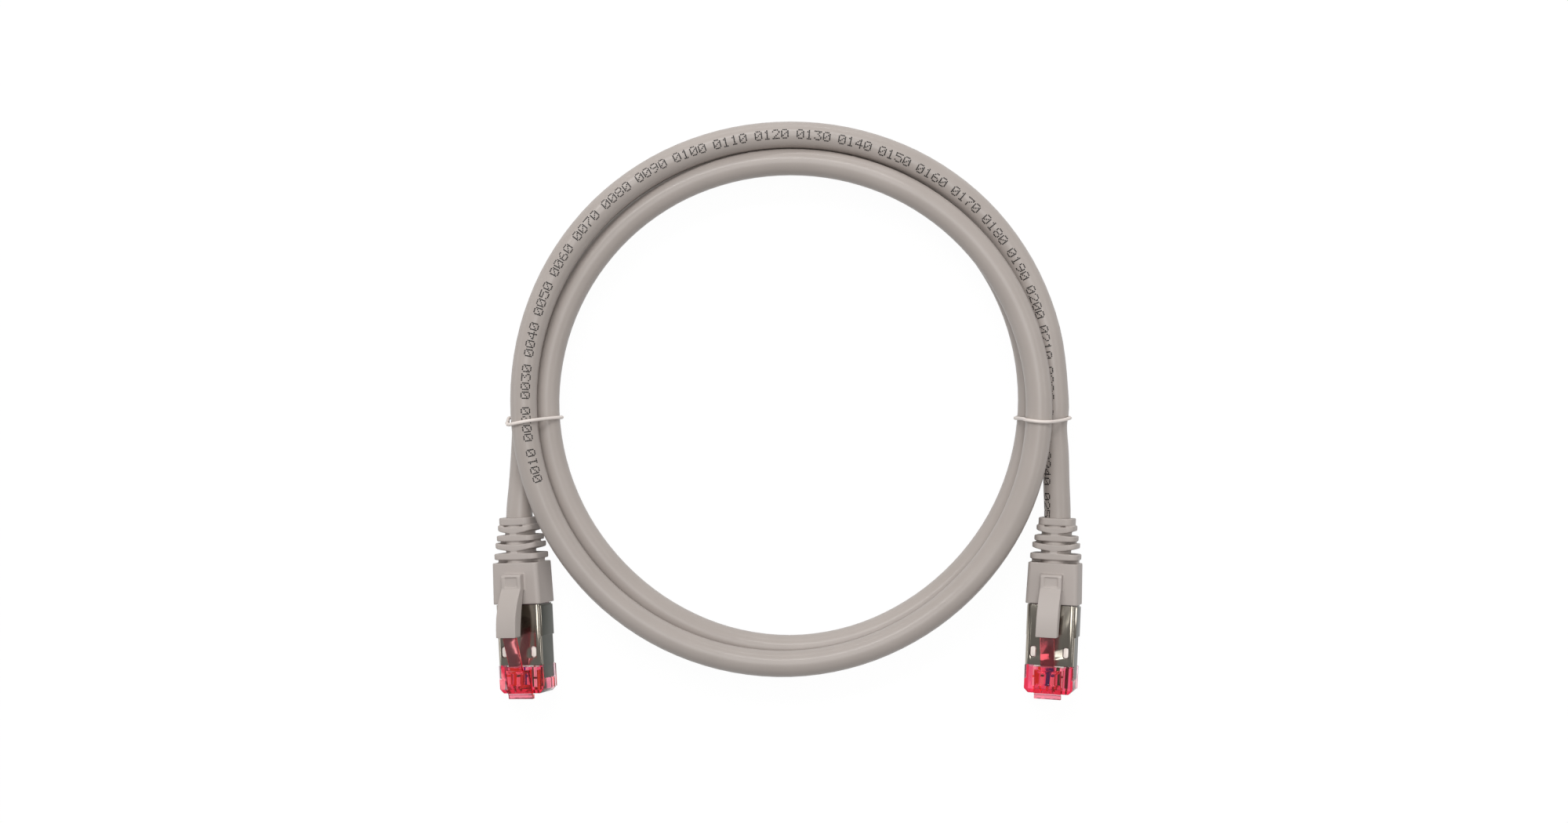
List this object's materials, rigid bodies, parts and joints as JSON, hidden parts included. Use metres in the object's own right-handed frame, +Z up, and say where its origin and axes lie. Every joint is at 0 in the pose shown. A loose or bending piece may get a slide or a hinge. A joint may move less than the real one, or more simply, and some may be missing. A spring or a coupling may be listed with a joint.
{
  "type": "ethernet patch cable",
  "caption": "Shielded network patch cable coiled and tied with thin bands: a round jacketed cable with ribbed boots, latch-guard tongues and modular plugs at its ends.",
  "frame": {"origin": "on the surface that it lies on, midway between the plugs: the bottom centre of the box round the plugs and boots", "axes": "+Z up off the surface, +X from one plug to the other, +Y from the plugs towards the far side of the coil"},
  "size_m": [0.1406, 0.1373, 0.0168],
  "materials": {
    "jacket": "satin warm grey halogen-free jacket",
    "braid": "tinned copper braid",
    "foil": "bright foil",
    "band": "matte off-white",
    "housing": "clear red polycarbonate",
    "latch": "clear red polycarbonate",
    "shell": "bright nickel plate",
    "collar": "nickel plate",
    "load_bar": "clear",
    "contact": "gold plate",
    "boot": "matte warm grey moulding",
    "wire_orange": "satin insulation",
    "wire_blue": "satin insulation",
    "wire_brown": "satin insulation",
    "wire_green": "satin insulation"
  },
  "bodies": {
    "cable": {"cable_jacket": "jacket", "braid_shield": "braid", "foil_pair_orange": "foil", "foil_pair_blue": "foil", "foil_pair_brown": "foil", "foil_pair_green": "foil", "tie_band_left": "band", "tie_band_right": "band", "plug_housing_a": "housing", "shield_shell_a": "shell", "load_bar_a": "load_bar", "crimp_collar_a": "collar", "boot_a": "boot", "contact_a_1": "contact", "contact_a_2": "contact", "contact_a_3": "contact", "contact_a_4": "contact", "contact_a_5": "contact", "contact_a_6": "contact", "contact_a_7": "contact", "contact_a_8": "contact", "wire_a_1": "wire_orange", "wire_a_2": "wire_orange", "wire_a_3": "wire_green", "wire_a_4": "wire_blue", "wire_a_5": "wire_blue", "wire_a_6": "wire_green", "wire_a_7": "wire_brown", "wire_a_8": "wire_brown", "plug_housing_b": "housing", "shield_shell_b": "shell", "load_bar_b": "load_bar", "crimp_collar_b": "collar", "boot_b": "boot", "contact_b_1": "contact", "contact_b_2": "contact", "contact_b_3": "contact", "contact_b_4": "contact", "contact_b_5": "contact", "contact_b_6": "contact", "contact_b_7": "contact", "contact_b_8": "contact", "wire_b_1": "wire_orange", "wire_b_2": "wire_orange", "wire_b_3": "wire_green", "wire_b_4": "wire_blue", "wire_b_5": "wire_blue", "wire_b_6": "wire_green", "wire_b_7": "wire_brown", "wire_b_8": "wire_brown"},
    "latch_a": {"latch_a": "latch"},
    "tongue_a": {"boot_tongue_a": "boot"},
    "latch_b": {"latch_b": "latch"},
    "tongue_b": {"boot_tongue_b": "boot"}
  },
  "joints": [
    {"name": "tongue_a_press", "type": "hinge", "parent": "cable", "child": "tongue_a", "pos_m": [-0.06503, 0.00451, 0.01044], "axis": [0.926, 0.0469, 0.3746], "range_deg": [0, 15], "stiffness_Nm_per_rad": 0.004},
    {"name": "latch_a_press", "type": "hinge", "parent": "cable", "child": "latch_a", "pos_m": [-0.06323, -0.02032, 0.0091], "axis": [-0.926, -0.0469, -0.3746], "range_deg": [0, 9.1], "stiffness_Nm_per_rad": 0.004},
    {"name": "tongue_b_press", "type": "hinge", "parent": "cable", "child": "tongue_b", "pos_m": [0.06216, 0.00447, 0.01014], "axis": [0.965, -0.0413, 0.2588], "range_deg": [0, 15], "stiffness_Nm_per_rad": 0.004},
    {"name": "latch_b_press", "type": "hinge", "parent": "cable", "child": "latch_b", "pos_m": [0.06147, -0.02042, 0.00874], "axis": [-0.965, 0.0413, -0.2588], "range_deg": [0, 9.1], "stiffness_Nm_per_rad": 0.004}
  ],
  "couplings": [
    {"joint": "latch_a_press", "follows": "tongue_a_press", "ratio": 0.6},
    {"joint": "latch_b_press", "follows": "tongue_b_press", "ratio": 0.6}
  ]
}
